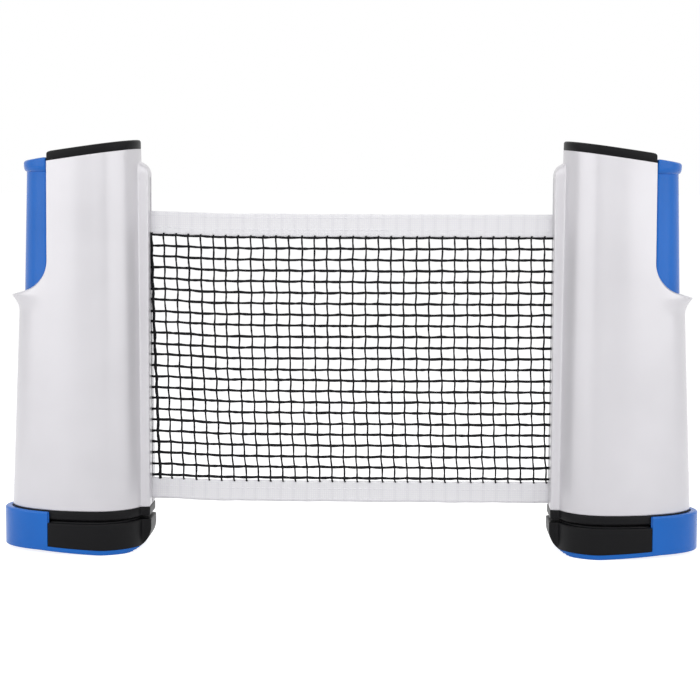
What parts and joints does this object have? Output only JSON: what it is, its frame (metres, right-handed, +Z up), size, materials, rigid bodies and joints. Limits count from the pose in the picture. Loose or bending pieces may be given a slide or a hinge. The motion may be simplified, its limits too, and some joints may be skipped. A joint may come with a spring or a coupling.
{
  "type": "table tennis net clamp",
  "caption": "Retractable table tennis net with a spring-clamp post at each end that grips the table edge and holds a sprung roller for the mesh.",
  "frame": {"origin": "centre of the bounding box's bottom, midway between the two shoes", "axes": "+X along the net to the right post, +Y to the back, +Z up; millimetres in the source, metres in the row"},
  "size_m": [0.3516, 0.057, 0.2061],
  "materials": {
    "pearl_plastic": "satin pearl-white moulded shell",
    "black_plastic": "satin black moulded plastic",
    "blue_plastic": "glossy blue moulded plastic",
    "grip_rubber": "matt black rubber",
    "spring_steel": "bright spring wire",
    "turned_steel": "turned steel",
    "tube_aluminium": "drawn aluminium tube",
    "natural_nylon": "natural nylon",
    "mesh_thread": "dark knotted nylon thread",
    "white_tape": "white woven tape",
    "rolled_net": "wound net and tape"
  },
  "bodies": {
    "left_post": {"left_housing_front": "pearl_plastic", "left_housing_back": "pearl_plastic", "left_top_cap": "black_plastic", "left_upper_jaw": "black_plastic", "left_upper_grip": "grip_rubber", "left_clamp_spring": "spring_steel", "left_spring_guide_rod": "turned_steel", "left_top_bearing_plate": "natural_nylon", "left_roller_shaft": "turned_steel", "left_retract_spring": "spring_steel", "left_housing_screws": "turned_steel", "left_upper_jaw_screws": "turned_steel", "net_mesh": "mesh_thread", "net_tape_top": "white_tape", "net_tape_bottom": "white_tape"},
    "left_clamp": {"left_squeeze_handle": "blue_plastic", "left_slide_bar": "turned_steel", "left_jaw_shoe": "blue_plastic", "left_jaw_block": "black_plastic", "left_lower_grip": "grip_rubber", "left_lower_jaw_screws": "turned_steel", "left_handle_screw": "turned_steel"},
    "left_roller": {"left_roller_tube": "tube_aluminium", "left_roller_bushes": "natural_nylon", "left_net_roll": "rolled_net", "left_net_batten": "natural_nylon"},
    "right_post": {"right_housing_front": "pearl_plastic", "right_housing_back": "pearl_plastic", "right_top_cap": "black_plastic", "right_upper_jaw": "black_plastic", "right_upper_grip": "grip_rubber", "right_clamp_spring": "spring_steel", "right_spring_guide_rod": "turned_steel", "right_top_bearing_plate": "natural_nylon", "right_roller_shaft": "turned_steel", "right_retract_spring": "spring_steel", "right_housing_screws": "turned_steel", "right_upper_jaw_screws": "turned_steel"},
    "right_clamp": {"right_squeeze_handle": "blue_plastic", "right_slide_bar": "turned_steel", "right_jaw_shoe": "blue_plastic", "right_jaw_block": "black_plastic", "right_lower_grip": "grip_rubber", "right_lower_jaw_screws": "turned_steel", "right_handle_screw": "turned_steel"},
    "right_roller": {"right_roller_tube": "tube_aluminium", "right_roller_bushes": "natural_nylon", "right_net_roll": "rolled_net", "right_net_batten": "natural_nylon"}
  },
  "joints": [
    {"name": "net_pull", "type": "slide", "parent": "left_post", "child": "right_post", "axis": [1, 0, 0], "range_m": [-0.196, 1.55], "stiffness_N_per_m": 3, "springref_m": -0.196, "deforming": ["net_mesh", "net_tape_top", "net_tape_bottom"]},
    {"name": "left_clamp_slide", "type": "slide", "parent": "left_post", "child": "left_clamp", "axis": [0, 0, -1], "range_m": [0, 0.05], "stiffness_N_per_m": 1100, "springref_m": -0.012, "deforming": ["left_clamp_spring"]},
    {"name": "left_roller_turn", "type": "hinge", "parent": "left_post", "child": "left_roller", "pos_m": [-0.129, 0, 0.1], "axis": [0, 0, 1], "range_deg": [-3553, 450], "deforming": ["left_retract_spring"]},
    {"name": "right_clamp_slide", "type": "slide", "parent": "right_post", "child": "right_clamp", "axis": [0, 0, -1], "range_m": [0, 0.05], "stiffness_N_per_m": 1100, "springref_m": -0.012, "deforming": ["right_clamp_spring"]},
    {"name": "right_roller_turn", "type": "hinge", "parent": "right_post", "child": "right_roller", "pos_m": [0.129, 0, 0.1], "axis": [0, 0, 1], "range_deg": [-450, 3553], "deforming": ["right_retract_spring"]}
  ],
  "couplings": [
    {"joint": "left_roller_turn", "follows": "net_pull", "rad_per_m": -40},
    {"joint": "right_roller_turn", "follows": "net_pull", "rad_per_m": 40}
  ]
}
